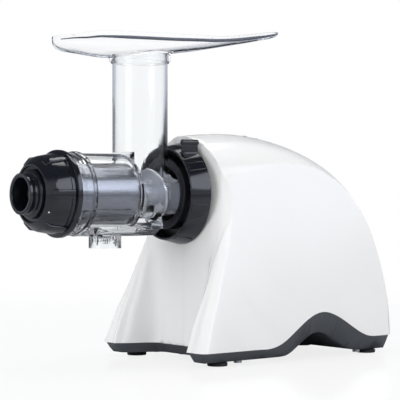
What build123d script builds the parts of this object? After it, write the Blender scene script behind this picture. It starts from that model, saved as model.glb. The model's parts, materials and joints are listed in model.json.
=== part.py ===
from build123d import *
import os
from math import atan2, cos, degrees, hypot, radians, sin, sqrt

# A horizontal cold press juicer: a white motor housing on a dark base, and a clear
# pressing drum with its feed tube, tray, cap and nozzle, held on by a locking ring.
# X runs along the auger, from the nozzle (-X) to the back of the housing (+X).
# Z is up, the feet stand on Z = 0, and the object mirrors across Y = 0.

# ---- Driving dimensions, millimetres --------------------------------------------
axis_z = 160.0            # height of the auger axis
nose_x = -202.0           # front of the nozzle
rear_x = 202.0            # back of the housing
crest_z = 217.4           # highest point of the housing
wall = 3.0                # housing and base wall
roof_r = 57.5             # round of the roof across its width, about the auger axis
base_half = 82.0          # half width of the housing at its front foot
foot_z = 16.0             # height at which base_half is measured
taper = 0.0792            # narrowing of each flank towards the back
lean = 0.1485             # lean of each flank towards the top
front_x = -22.0           # flat middle of the front face
leg_reach = 35.6          # how far the two front legs stand out before it
corner_r = 9.0            # round of the upright front corners
tail_r = 20.0             # round of the back corners

base_floor_z = 4.0        # underside of the base
base_step = 8.5           # how far the base draws in towards the floor
arch_x = 100.0            # middle of the arch under the base
arch_low = 20.5           # rise of the underside in the arch
arch_high = 31.0          # rise of the upper edge of the base over the arch
trim_z = 13.6             # upper edge of the base along its straight stretches
kink_rise = 1.2           # the base's flare ends this far above its cut edge

foot_r = 9.5
foot_neck_r = 6.0
foot_pin_r = 3.0
foot_h = 3.2
front_foot = (-29.0, 66.0)
rear_foot = (171.0, 50.0)

drum_r = 37.5             # clear drum, outside
drum_wall = 2.5
drum_front_x = -176.0
collar_front_x = -159.6   # clear collar that the cap closes against
collar_rear_x = -143.0
collar_r = 39.2
dome_x = -97.0            # where the round back of the drum begins
neck_r = 26.0
neck_bore_r = 23.6
neck_rear_x = -12.0
neck_wall_x = -35.0       # wall behind the screw, pierced for its shaft
spigot_r = 31.5
spigot_bore_r = 29.2

tube_x = -70.7            # feed tube
tube_r = 26.1
tube_bore_r = 23.6
tube_top_z = 291.5
chute_floor_z = 199.0

spout_x = -110.4          # juice spout
spout_r = 15.2
spout_bore_r = 12.8
spout_z = 109.4

rail_z = 121.0            # flat rail under the drum
rail_half = 20.0
rail_front_x = -142.0
rail_rear_x = -57.0
rail_lip = 2.5

screen_r = 28.4
screen_wall = 4.2
screen_rear_x = -88.0
auger_r = 23.3
auger_pitch = 25.0
flight_thick = 3.6
auger_shaft_r = 9.5
hex_af = 10.0             # drive hexagon, across flats
fit = 0.2                 # clearance of parts that slide together
running = 0.05            # clearance of a shaft in its bearing

ring_front_x = -42.9      # locking ring
ring_rear_x = -23.0
ring_front_r = 44.3
ring_rear_r = 48.9
ring_bore_r = 41.4

cap_rear_x = -160.0
cap_front_x = -191.0
cap_r = 34.5
cap_flange_r = 40.4
grip_count = 6
grip_len = 21.0
grip_wide = 8.5
grip_rise = 1.6

nozzle_rim_r = 18.9
nozzle_r = 17.6
nozzle_bore_r = 15.0
nozzle_boss_r = 23.5
nozzle_stem_r = 20.0

tray_x = -36.5            # feed tray, a leaf-shaped dish
tray_half_len = 127.5
tray_half = 44.0
tray_rim_z = 309.2
tray_rear_rise = 11.5     # rise of the rim towards the back
tray_front_drop = 4.3     # fall of the rim towards the front
tray_front_depth = 25.0   # depth of the dish towards the front
tray_rear_depth = 10.2
tray_wall = 2.4
tray_collar_r = 29.3
tray_collar_z = 284.6

plate_front_x = -8.0      # gearbox plates
plate_thick = 5.0
plate_rear_x = 34.0
plate_half = 39.0
plate_top_z = 194.0
post_r = 4.0

module_out = 1.5
teeth_out = 48
teeth_small = 12
module_in = 1.0
teeth_idler = 60
motor_z = 95.0
shaft_r = 8.0
idler_shaft_r = 5.0
motor_shaft_r = 3.0
motor_r = 40.0
motor_front_x = 39.0
motor_len = 80.0

switch_x = 58.0           # rocker switch on the roof
switch_len = 26.0
switch_wide = 20.0
switch_top_z = 215.2      # top of the housing at the switch
switch_tilt = 8.0         # fall of the roof there, degrees
rocker_r = 9.6
rocker_pivot = -5.4       # from the roof

inlet_z = 36.0            # mains inlet
inlet_half = 14.0
inlet_high = 20.0
inlet_depth = 16.0

board_z = 12.0            # control board
board_front_x = 147.0
board_len = 36.0
board_half = 26.0

# ---- Values worked out from the driving dimensions --------------------------------
drum_axis = Axis((0, 0, axis_z), (1, 0, 0))
out_pitch_r = module_out * teeth_out / 2
small_out_r = module_out * teeth_small / 2
idler_pitch_r = module_in * teeth_idler / 2
motor_pinion_r = module_in * teeth_small / 2
reach_out = out_pitch_r + small_out_r
reach_in = idler_pitch_r + motor_pinion_r
drop = axis_z - motor_z
idler_z = axis_z - (reach_out**2 - reach_in**2 + drop**2) / (2 * drop)
idler_y = sqrt(reach_out**2 - (axis_z - idler_z) ** 2)
plate_rear_end = plate_rear_x + plate_thick
bearing_r = 13.0
bush_r = 8.0
motor_bush_r = 7.0
gear_out_x = 4.0
gear_in_x = 21.0
stack_x = motor_front_x + 14
stack_len = 50.0
seal_x = drum_front_x - 5.5
cap_bore_r = spigot_r + 2.2
tab_x = drum_front_x + 5.8
tab_y = -24.6
groove_x = -29.9
bayonet_count = 3
bayonet_turn = 30.0
bayonet_thick = 3.0
lock_turn = 90.0
lock_lug_r = 38.8
gap_angles = [radians(20 + 20 * i) for i in range(5)]
bayonet_gap = [(0, 0)] + [(60 * cos(a), 60 * sin(a)) for a in gap_angles]
motor_rear_x = motor_front_x + motor_len
roof_along = (cos(radians(switch_tilt)), 0, -sin(radians(switch_tilt)))
roof_normal = (sin(radians(switch_tilt)), 0, cos(radians(switch_tilt)))
switch_face = Plane(origin=(switch_x, 0, switch_top_z), x_dir=roof_along, z_dir=roof_normal)
switch_side = Plane(origin=(switch_x, 0, switch_top_z), x_dir=roof_along, z_dir=(0, -1, 0))
socket_screw_spots = [(sy * 22.6, axis_z + sz * 22.6) for sy in (-1, 1) for sz in (-1, 1)]

os.makedirs("parts", exist_ok=True)


def finish(piece, label):
    piece.part.label = label
    export_step(piece.part, f"parts/{label}.step")
    print(label, len(piece.part.solids()), round(piece.part.volume))


def about(height, *pairs):
    """Points (x, radius) of a turned profile, raised to its axis."""
    return [(x, height + r) for x, r in pairs]


def across(x, y=0.0, z=axis_z):
    """A sketch plane across X, centred on a shaft."""
    return Plane(origin=(x, y, z), x_dir=(0, 1, 0), z_dir=(1, 0, 0))


def ease(t):
    t = min(max(t, 0.0), 1.0)
    return t * t * (3 - 2 * t)


def sag(across, radius):
    """How far a round of this radius has fallen at a distance across from its top."""
    across = min(max(across, 0.0), radius - 1.5)
    return radius - sqrt(radius**2 - across**2)


# ---- Housing form -----------------------------------------------------------------
hub_x, hub_z = 20.0, foot_z
crest = [
    (30.0, crest_z),
    (86.0, crest_z - 7.6),
    (120.0, crest_z - 18.9),
    (150.0, crest_z - 38.0),
    (178.0, crest_z - 73.0),
    (rear_x - 6.0, 88.0),
    (rear_x, 30.0),
]
front_heights = [-10.0, 16.0, 40.0, 68.0, 94.0, 126.0, 150.0]
front_flare = [1.36, 1.03, 0.81, 0.47, 0.2, -0.14, -0.27]
station_shares = (0, 0.195, 0.366, 0.463, 0.537, 0.598, 0.659, 0.72, 0.78, 0.841, 0.902, 0.963, 1.037, 1.134)
stations = [base_half * share for share in station_shares]


def half_width(x, z):
    return base_half - taper * (x + 30.0) - lean * (z - foot_z)


def crest_point(x, z, y, inset):
    out = hypot(x - hub_x, z - hub_z)
    up = max(0.0, (z - hub_z) / out) ** 2
    tail = sag(abs(y) - (base_half - taper * (rear_x + 30.0) - tail_r), tail_r)
    fall = tail * (1 - up) + sag(abs(y), roof_r) * up + inset
    k = (out - fall) / out
    return hub_x + (x - hub_x) * k, hub_z + (z - hub_z) * k


def front_at(y, z, flare):
    """X of the front face: flat in the middle, out over the legs, round at the corners."""
    leg = ease((abs(y) - 40.0) / 20.0)
    side = min(1.0, (abs(y) / roof_r) ** 2)
    high = ease((z - 100.0) / 50.0)
    x = front_x - leg_reach * flare * (leg * (1 - high) + side * high)
    edge = abs(y) - (half_width(front_x - leg_reach * flare, z) - corner_r)
    return x + corner_r * min(max(edge / corner_r, 0.0), 1.6) ** 2.4


def side_profile(y, inset):
    front = [(front_at(y, z, f) + inset, z) for z, f in zip(front_heights, front_flare)]
    top_z = crest_point(-10.0, crest_z - 2.6, y, inset)[1]
    front.append((front_at(y, axis_z, front_flare[-1]) + inset, max(top_z, axis_z + 2.0)))
    back = [crest_point(x, z, y, inset) for x, z in crest]
    return front, back


def form_block(inset):
    """The solid form of the housing, drawn in by inset all round and open below."""
    with BuildPart() as block:
        for y in [-s for s in reversed(stations[1:])] + stations:
            front, back = side_profile(y, inset)
            low = (back[-1][0], front_heights[0])
            with BuildSketch(Plane.XZ.offset(-y)):
                with BuildLine():
                    Spline(front[-1], *back, low)
                    Line(low, front[0])
                    Spline(*front)
                make_face()
        loft()
        for z in (front_heights[0] - 2, crest_z + 20):
            with BuildSketch(Plane.XY.offset(z)):
                with BuildLine():
                    a, b = nose_x / 2, rear_x + 10
                    wa = half_width(a, z) - inset
                    wb = half_width(b, z) - inset
                    Polyline((a, -wa), (b, -wb), (b, wb), (a, wa), close=True)
                make_face()
        loft(ruled=True, mode=Mode.INTERSECT)
    return block.part


def wave(x, rise, spread):
    """Height above the straight edge, of the arch in the base."""
    return rise * ease(1 - abs(x - arch_x) / spread)


def trim_top(x):
    return trim_z + wave(x, arch_high, 76.0) + 4.0 * ease((x - 150) / 25)


def trim_low(x):
    return base_floor_z + wave(x, arch_low, 52.0)


wave_xs = [-125.0 + 15.0 * i for i in range(26)]


def band(edge, low, high):
    """A block across the full width, between the curve edge(x) and a flat face."""
    with BuildPart() as block:
        with BuildSketch(Plane.XZ):
            with BuildLine():
                curve = [(x, edge(x)) for x in wave_xs]
                Spline(*curve)
                Polyline(curve[-1], (wave_xs[-1], high), (wave_xs[0], high), curve[0])
            make_face()
        extrude(amount=base_half + 30, both=True)
    return block.part


def base_block(inset):
    """The solid form of the base, drawn in by inset on its walls and floor."""
    with BuildPart() as block:
        for x in wave_xs:
            top = trim_top(x)
            low = trim_low(x) + inset
            w = half_width(x, top) - inset
            up = top + 40.0
            with BuildSketch(Plane.YZ.offset(x)):
                with BuildLine():
                    right = [(w - base_step, low), (w, top + kink_rise), (w - lean * 40.0, up)]
                    left = [(-y, z) for y, z in reversed(right)]
                    Polyline(*right, *left, close=True)
                make_face()
        loft()
        for y in [-s for s in reversed(stations[1:])] + stations:
            fx = front_at(y, foot_z, front_flare[1]) + inset
            bx = crest_point(rear_x, 30.0, y, inset)[0]
            with BuildSketch(Plane.XZ.offset(-y)):
                with BuildLine():
                    Polyline(
                        (fx, 120.0), (fx, trim_z + kink_rise), (fx + base_step, base_floor_z - 1),
                        (bx - base_step, base_floor_z - 1), (bx, trim_z + 4 + kink_rise),
                        (bx, 120.0), close=True,
                    )
                make_face()
        loft(ruled=True, mode=Mode.INTERSECT)
    return block.part


outer_form = form_block(0.0)
inner_form = form_block(wall)
above_trim = band(trim_top, 0, -30.0)
screw_spots = [(-5.0, 66.0), (156.0, 52.5)]
screw_places = [(x, s * y) for x, y in screw_spots for s in (-1, 1)]
foot_places = [(x, s * y) for x, y in (front_foot, rear_foot) for s in (-1, 1)]
floor_top = base_floor_z + wall
post_z = 18.0
post_len = 54.0
screw_post_r = 5.5
screw_r = 2.0
socket_r = 38.0
socket_hole_r = socket_r + 0.6

with BuildPart() as housing_shell:
    add(outer_form)
    add(inner_form, mode=Mode.SUBTRACT)
    add(above_trim, mode=Mode.SUBTRACT)
    # screw posts, grown out of the inner faces of the flanks
    with BuildSketch(Plane.XY.offset(post_z)):
        with Locations(*screw_places):
            Circle(screw_post_r)
    extrude(amount=post_len)
    with BuildSketch(Plane.XY.offset(post_z)):
        with Locations(*screw_places):
            Circle(screw_r)
    extrude(amount=post_len / 2, mode=Mode.SUBTRACT)
    add(outer_form, mode=Mode.INTERSECT)
    # hole for the drum socket, cut-outs for the switch and the mains inlet
    with BuildSketch(Plane.YZ.offset(ring_rear_x - 25)):
        with Locations((0, axis_z)):
            Circle(socket_hole_r)
    extrude(amount=60, mode=Mode.SUBTRACT)
    with Locations(switch_face):
        Box(switch_len + fit, switch_wide + fit, 30, mode=Mode.SUBTRACT)
    with Locations((rear_x, 0, inlet_z)):
        Box(20, 2 * inlet_half + fit, inlet_high + fit, mode=Mode.SUBTRACT)
finish(housing_shell, "housing_shell")

outer_base = base_block(0.0)
inner_base = base_block(wall)
below_trim = band(trim_top, 0, 160.0)

slot_xs = [arch_x + 6.0 * i for i in range(-2, 3)]
board_posts = [(board_front_x + dx, s * (board_half - 4)) for dx in (4, board_len - 4) for s in (-1, 1)]
plate_feet = [(plate_rear_x + plate_thick / 2, s * plate_half * 0.7) for s in (-1, 1)]
plate_screw_places = plate_feet + [(plate_front_x + 10, s * 30) for s in (-1, 1)]

with BuildPart() as base_tray:
    add(outer_base)
    add(inner_base, mode=Mode.SUBTRACT)
    add(below_trim, mode=Mode.SUBTRACT)
    with Locations((0, 0, base_floor_z - 10)):
        Box(600, 400, 20, mode=Mode.SUBTRACT)
    # bosses that carry the housing posts, the rear gearbox plate and the control board
    for places, boss_r, top in (
        (screw_places, screw_post_r, post_z),
        (plate_feet, 5.0, post_z),
        (board_posts, 3.0, board_z),
    ):
        with BuildSketch(Plane.XY.offset(floor_top - 0.5)):
            with Locations(*places):
                Circle(boss_r)
        extrude(amount=top - floor_top + 0.5)
    # holes for the screws and the foot pins, and air slots in the arch
    with BuildSketch(Plane.XY):
        with Locations(*screw_places, *plate_screw_places):
            Circle(screw_r)
        with Locations(*foot_places):
            Circle(foot_pin_r)
        with Locations(*[(x, 0) for x in slot_xs]):
            SlotOverall(60, 3, rotation=90)
    extrude(amount=60, mode=Mode.SUBTRACT)
finish(base_tray, "base_tray")

with BuildPart() as rubber_feet:
    for height, radius in ((foot_h, foot_r), (base_floor_z, foot_neck_r)):
        with BuildSketch(Plane.XY):
            with Locations(*foot_places):
                Circle(radius)
        extrude(amount=height)
    with BuildSketch(Plane.XY):
        with Locations(*foot_places):
            Circle(foot_pin_r)
    extrude(amount=floor_top)
    fillet(rubber_feet.edges().group_by(Axis.Z)[0], radius=0.8)
finish(rubber_feet, "rubber_feet")

with BuildPart() as housing_screws:
    for places, length in ((screw_places, 32.0), (plate_feet, 20.0), (plate_screw_places[2:], 7.4)):
        with BuildSketch(Plane.XY.offset(base_floor_z - 2.4)):
            with Locations(*places):
                Circle(3.8)
        extrude(amount=2.4)
        with BuildSketch(Plane.XY.offset(base_floor_z - 2.4)):
            with Locations(*places):
                Circle(screw_r)
        extrude(amount=length)
finish(housing_screws, "housing_screws")

# ---- Drum, screen and auger -------------------------------------------------------
cavity_r = drum_r - drum_wall
dome_rear_x = dome_x + drum_r - neck_r - 0.5

with BuildPart() as drum:
    with BuildSketch(Plane.XZ):
        with BuildLine():
            front = about(
                axis_z, (drum_front_x, 0), (drum_front_x, spigot_r), (collar_front_x, spigot_r),
                (collar_front_x, collar_r), (collar_front_x + 2.6, collar_r),
                (collar_front_x + 3.4, collar_r - 1.1), (collar_rear_x - 3.6, collar_r - 1.1),
                (collar_rear_x - 2.8, collar_r), (collar_rear_x - 0.4, collar_r),
                (collar_rear_x, drum_r), (dome_x, drum_r),
            )
            tail = about(
                axis_z, (dome_rear_x, neck_r + 0.5), (dome_rear_x, neck_r), (neck_rear_x, neck_r),
                (neck_rear_x, 0),
            )
            Polyline(*front)
            RadiusArc(front[-1], tail[0], dome_rear_x - dome_x)
            Polyline(*tail, front[0])
        make_face()
    revolve(axis=drum_axis)
    # bayonet lugs of the front spigot
    with BuildSketch(across(drum_front_x + 2)):
        Circle(spigot_r + 1.8)
        Circle(spigot_r - 0.4, mode=Mode.SUBTRACT)
        with PolarLocations(0, bayonet_count, start_angle=bayonet_turn):
            Polygon(*bayonet_gap, align=None, mode=Mode.SUBTRACT)
    extrude(amount=bayonet_thick)
    # feed tube, rail and spout
    with BuildSketch(Plane.XY.offset(axis_z)):
        with Locations((tube_x, 0)):
            Circle(tube_r)
    extrude(amount=tube_top_z - axis_z)
    with BuildSketch(Plane.XY.offset(tray_collar_z - 1.6)):
        with Locations((tube_x, 0)):
            Circle(tube_r + 1.4)
    extrude(amount=1.6)
    with BuildSketch(Plane.XZ.offset(-rail_half)):
        with BuildLine():
            Polyline(
                (rail_front_x, rail_z + 2), (rail_front_x + 4, axis_z - 20),
                (rail_rear_x - 4, axis_z - 20), (rail_rear_x - 1, rail_z + 9),
                (rail_rear_x - 11, rail_z), (rail_front_x + 2, rail_z), close=True,
            )
        make_face()
    extrude(amount=2 * rail_half)
    with Locations(((rail_front_x + rail_rear_x) / 2 - 1, 0, rail_z + 7.5)):
        Box(rail_rear_x - rail_front_x - 4, 2 * (rail_half + rail_lip), 2.4)
    with Locations(*[(rail_rear_x - 11, s * (rail_half - 3), axis_z - 20) for s in (-1, 1)]):
        Box(20, 6, 5)
    with BuildSketch(Plane.XY.offset(spout_z)):
        with Locations((spout_x, 0)):
            Circle(spout_r)
    extrude(amount=rail_z + 4 - spout_z)
    # hollows: drum cavity, neck, shaft hole, tube, chute, juice channel and spout
    with BuildSketch(Plane.XZ):
        with BuildLine():
            Polyline(
                *about(
                    axis_z, (drum_front_x, 0), (drum_front_x, spigot_bore_r),
                    (collar_rear_x, spigot_bore_r), (collar_rear_x + 2, cavity_r), (dome_x, cavity_r),
                    (dome_x + 5, cavity_r - 2.5), (dome_x + 5, screen_r + 0.1),
                    (screen_rear_x + 0.1, screen_r + 0.1), (screen_rear_x + 0.1, neck_bore_r),
                    (neck_wall_x, neck_bore_r), (neck_wall_x, auger_shaft_r + fit),
                    (neck_wall_x + 3, auger_shaft_r + fit), (neck_wall_x + 3, neck_bore_r),
                    (neck_rear_x, neck_bore_r), (neck_rear_x, 0),
                ),
                close=True,
            )
        make_face()
    revolve(axis=drum_axis, mode=Mode.SUBTRACT)
    with BuildSketch(Plane.XY.offset(chute_floor_z)):
        with Locations((tube_x, 0)):
            Circle(tube_bore_r)
    extrude(amount=tube_top_z - chute_floor_z, mode=Mode.SUBTRACT)
    with BuildSketch(Plane.XY.offset(axis_z + 10)):
        with Locations((tube_x, 0)):
            Circle(tube_bore_r)
        with Locations((screen_rear_x - 40, 0)):
            Rectangle(80, 80, mode=Mode.SUBTRACT)
    extrude(amount=chute_floor_z - axis_z - 10, mode=Mode.SUBTRACT)
    with Locations(((rail_front_x + rail_rear_x) / 2, 0, rail_z + 7)):
        Box(rail_rear_x - rail_front_x - 26, 2 * rail_half - 6, 9, mode=Mode.SUBTRACT)
    with BuildSketch(Plane.XY.offset(spout_z)):
        with Locations((spout_x, 0)):
            Circle(spout_bore_r)
    extrude(amount=rail_z + 6 - spout_z, mode=Mode.SUBTRACT)
finish(drum, "drum")

with BuildPart() as juicing_screen:
    with BuildSketch(Plane.XZ):
        with BuildLine():
            inner = screen_r - screen_wall
            Polyline(
                *about(
                    axis_z, (drum_front_x - 2.5, inner), (drum_front_x - 2.5, spigot_r - 0.5),
                    (drum_front_x, spigot_r - 0.5), (drum_front_x, spigot_bore_r - fit),
                    (drum_front_x + 8, spigot_bore_r - fit), (drum_front_x + 14, screen_r),
                    (screen_rear_x, screen_r), (screen_rear_x, inner),
                ),
                close=True,
            )
        make_face()
    revolve(axis=drum_axis)
    # juice slots along the lower half
    slot_angles = [-150 + 15 * i for i in range(9)]
    for angle in slot_angles:
        for x in [-150 + 12.0 * i for i in range(5)]:
            with Locations(
                Plane(
                    (x, screen_r * cos(radians(angle)), axis_z + screen_r * sin(radians(angle))),
                    x_dir=(1, 0, 0),
                    z_dir=(0, cos(radians(angle)), sin(radians(angle))),
                )
            ):
                Box(8, 1.0, 2 * screen_wall + 2, mode=Mode.SUBTRACT)
finish(juicing_screen, "juicing_screen")

auger_tip_x = nose_x + 9
auger_rear_x = neck_rear_x + 3
flight_len = 118.0
flight_start_x = -50.0

with BuildPart() as auger:
    with BuildSketch(Plane.XZ):
        with BuildLine():
            body = about(
                axis_z, (auger_rear_x, 0), (auger_rear_x, auger_shaft_r),
                (neck_wall_x - running, auger_shaft_r),
                (neck_wall_x - running, neck_bore_r - fit), (-39.5, neck_bore_r - fit), (-43, 11.5),
                (drum_front_x + 8, 18.5), (drum_front_x, 15.5), (auger_tip_x + 5, 9.0),
            )
            Polyline(*body)
            nose = about(axis_z, (auger_tip_x, 0))[0]
            ThreePointArc(body[-1], (auger_tip_x + 1.6, axis_z + 5.6), nose)
            Line(nose, body[0])
        make_face()
    revolve(axis=drum_axis)
    with BuildLine():
        turn = Helix(
            pitch=auger_pitch, height=flight_len, radius=15,
            center=(flight_start_x, 0, axis_z), direction=(-1, 0, 0),
        )
    outward = (turn @ 0) - Vector(flight_start_x, 0, axis_z)
    with BuildSketch(Plane(turn @ 0, x_dir=outward.normalized(), z_dir=turn % 0)):
        with Locations((auger_r - 15 - 6.5, 0)):
            Rectangle(13, flight_thick)
    sweep(path=turn, is_frenet=True)
    with BuildSketch(across(auger_rear_x)):
        RegularPolygon(hex_af / 2 + running, 6, major_radius=False)
    extrude(amount=-18, mode=Mode.SUBTRACT)
finish(auger, "auger")

with BuildPart() as shaft_seal:
    with BuildSketch(across(neck_wall_x + 3)):
        Circle(16)
        Circle(auger_shaft_r + running, mode=Mode.SUBTRACT)
    extrude(amount=4)
    chamfer(shaft_seal.edges().group_by(Axis.X)[-1], length=1)
finish(shaft_seal, "shaft_seal")

# ---- Cap and nozzle ---------------------------------------------------------------
recess_x = cap_front_x + 1.8

with BuildPart() as cap_grips:
    for i in range(grip_count):
        turn_by = radians(360 / grip_count * i)
        out = Vector(0, -cos(turn_by), sin(turn_by))
        middle = Vector(cap_front_x + 3.6 + grip_len / 2, 0, axis_z) + out * (cap_r - 1.8)
        with Locations(Plane(middle, x_dir=(1, 0, 0), z_dir=out)):
            Box(grip_len + 6, grip_wide, 2 * grip_rise + 12)
    # trimmed so that each grip follows the shoulder of the cap
    with BuildSketch(Plane.XZ):
        with BuildLine():
            Polyline(
                *about(
                    axis_z, (cap_front_x + 1.4, 0), (cap_front_x + 1.4, nozzle_boss_r + 4.9),
                    (cap_front_x + 2.2, nozzle_boss_r + 6.6), (cap_front_x + 7.6, cap_r + grip_rise),
                    (cap_front_x + 3.6 + grip_len, cap_r + grip_rise + 0.9),
                    (cap_front_x + 3.6 + grip_len, 0),
                ),
                close=True,
            )
        make_face()
    revolve(axis=drum_axis, mode=Mode.INTERSECT)

with BuildPart() as drum_cap:
    with BuildSketch(Plane.XZ):
        with BuildLine():
            sweep_in = about(axis_z, (cap_rear_x - 5.5, cap_r + 2.9), (cap_rear_x - 4, cap_flange_r))
            RadiusArc(*sweep_in, 2.6)
            Polyline(
                sweep_in[1],
                *about(
                    axis_z, (cap_rear_x - 0.6, cap_flange_r), (cap_rear_x, cap_flange_r - 0.6),
                    (cap_rear_x, 0), (cap_front_x, 0), (cap_front_x, nozzle_boss_r + 3.6),
                    (cap_front_x + 7.8, cap_r), (cap_rear_x - 8.5, cap_r + 2.4),
                ),
                sweep_in[0],
            )
        make_face()
    revolve(axis=drum_axis)
    add(cap_grips.part)
    # nozzle recess and hole, seat of the seal and bore of the skirt
    with BuildSketch(Plane.XZ):
        with BuildLine():
            Polyline(
                *about(
                    axis_z, (cap_rear_x, 0), (cap_rear_x, cap_bore_r),
                    (drum_front_x - 1, cap_bore_r), (drum_front_x - 1, spigot_r - 0.2),
                    (seal_x, spigot_r - 0.2), (seal_x, nozzle_boss_r - 0.5),
                    (seal_x - 2.5, nozzle_boss_r - 0.5), (seal_x - 2.5, nozzle_stem_r + fit),
                    (recess_x, nozzle_stem_r + fit), (recess_x, nozzle_boss_r + 1.7),
                    (cap_front_x, nozzle_boss_r + 2.3), (cap_front_x, 0),
                ),
                close=True,
            )
        make_face()
    revolve(axis=drum_axis, mode=Mode.SUBTRACT)
    # bayonet tabs inside the skirt
    with BuildSketch(across(tab_x)):
        Circle(cap_bore_r + 0.4)
        Circle(spigot_r + 2 * fit, mode=Mode.SUBTRACT)
        with PolarLocations(0, bayonet_count, start_angle=bayonet_turn):
            Polygon(*bayonet_gap, align=None, mode=Mode.SUBTRACT)
    extrude(amount=bayonet_thick)
finish(drum_cap, "drum_cap")

with BuildPart() as cap_seal:
    with BuildSketch(across(seal_x)):
        Circle(spigot_r - 0.3)
        Circle(screen_r + 0.5, mode=Mode.SUBTRACT)
    extrude(amount=drum_front_x - 2.5 - running - seal_x)
finish(cap_seal, "cap_seal")

with BuildPart() as nozzle:
    with BuildSketch(Plane.XZ):
        with BuildLine():
            Polyline(
                *about(
                    axis_z, (nose_x, nozzle_bore_r + 1.4), (nose_x, nozzle_rim_r - 0.4),
                    (nose_x + 0.5, nozzle_rim_r), (nose_x + 2.6, nozzle_rim_r),
                    (nose_x + 3.6, nozzle_r), (cap_front_x - 3.4, nozzle_r),
                    (cap_front_x - 2.6, nozzle_r + 0.8), (cap_front_x - 2.6, nozzle_boss_r - 0.8),
                    (cap_front_x - 1.8, nozzle_boss_r), (recess_x - 0.3, nozzle_boss_r),
                    (recess_x - 0.3, nozzle_stem_r), (recess_x + 1.4, nozzle_stem_r),
                    (recess_x + 1.4, nozzle_stem_r - 1.6), (recess_x + 3.2, nozzle_stem_r - 1.6),
                    (recess_x + 3.2, nozzle_stem_r), (seal_x - 2.2, nozzle_stem_r),
                    (seal_x - 2.2, nozzle_stem_r + 1.4), (seal_x - 0.8, nozzle_stem_r + 1.4),
                    (seal_x - 0.3, nozzle_stem_r), (seal_x - 0.3, nozzle_bore_r),
                    (nose_x + 1.4, nozzle_bore_r),
                ),
                close=True,
            )
        make_face()
    revolve(axis=drum_axis)
finish(nozzle, "nozzle")

with BuildPart() as nozzle_seal:
    with BuildSketch(across(recess_x + 1.5)):
        Circle(nozzle_stem_r + fit - running)
        Circle(nozzle_stem_r - 1.6, mode=Mode.SUBTRACT)
    extrude(amount=1.6)
finish(nozzle_seal, "nozzle_seal")

# ---- Mounting of the drum: collar, socket and locking ring -------------------------
collar_step_x = ring_front_x + 7.7
head_x = -31.5

with BuildPart() as drum_collar:
    with BuildSketch(across(ring_front_x - 0.6)):
        Circle(34)
        Circle(neck_r, mode=Mode.SUBTRACT)
    extrude(amount=head_x - ring_front_x + 0.6)
    chamfer(drum_collar.edges().group_by(Axis.X)[0], length=0.8)
    with BuildSketch(across(collar_step_x)):
        Circle(lock_lug_r)
        Circle(33, mode=Mode.SUBTRACT)
        with PolarLocations(0, bayonet_count, start_angle=lock_turn):
            Polygon(*bayonet_gap, align=None, mode=Mode.SUBTRACT)
    extrude(amount=head_x - 0.3 - collar_step_x)
finish(drum_collar, "drum_collar")

with BuildPart() as drum_socket:
    with BuildSketch(Plane.XZ):
        with BuildLine():
            Polyline(
                *about(
                    axis_z, (head_x, neck_r + fit), (head_x, ring_bore_r - fit),
                    (groove_x, ring_bore_r - fit), (groove_x, ring_bore_r + 1.3),
                    (groove_x + 2.4, ring_bore_r + 1.3), (groove_x + 2.4, ring_bore_r - fit),
                    (ring_rear_x + 0.4, ring_bore_r - fit), (ring_rear_x + 0.4, socket_r),
                    (plate_front_x, socket_r), (plate_front_x, neck_r + fit),
                ),
                close=True,
            )
        make_face()
    revolve(axis=drum_axis)
    with BuildSketch(Plane.YZ.offset(plate_front_x)):
        with Locations(*socket_screw_spots):
            Circle(screw_r)
    extrude(amount=-10, mode=Mode.SUBTRACT)
finish(drum_socket, "drum_socket")

ring_slope = atan2(ring_rear_r - ring_front_r, ring_rear_x - ring_front_x)

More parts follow.
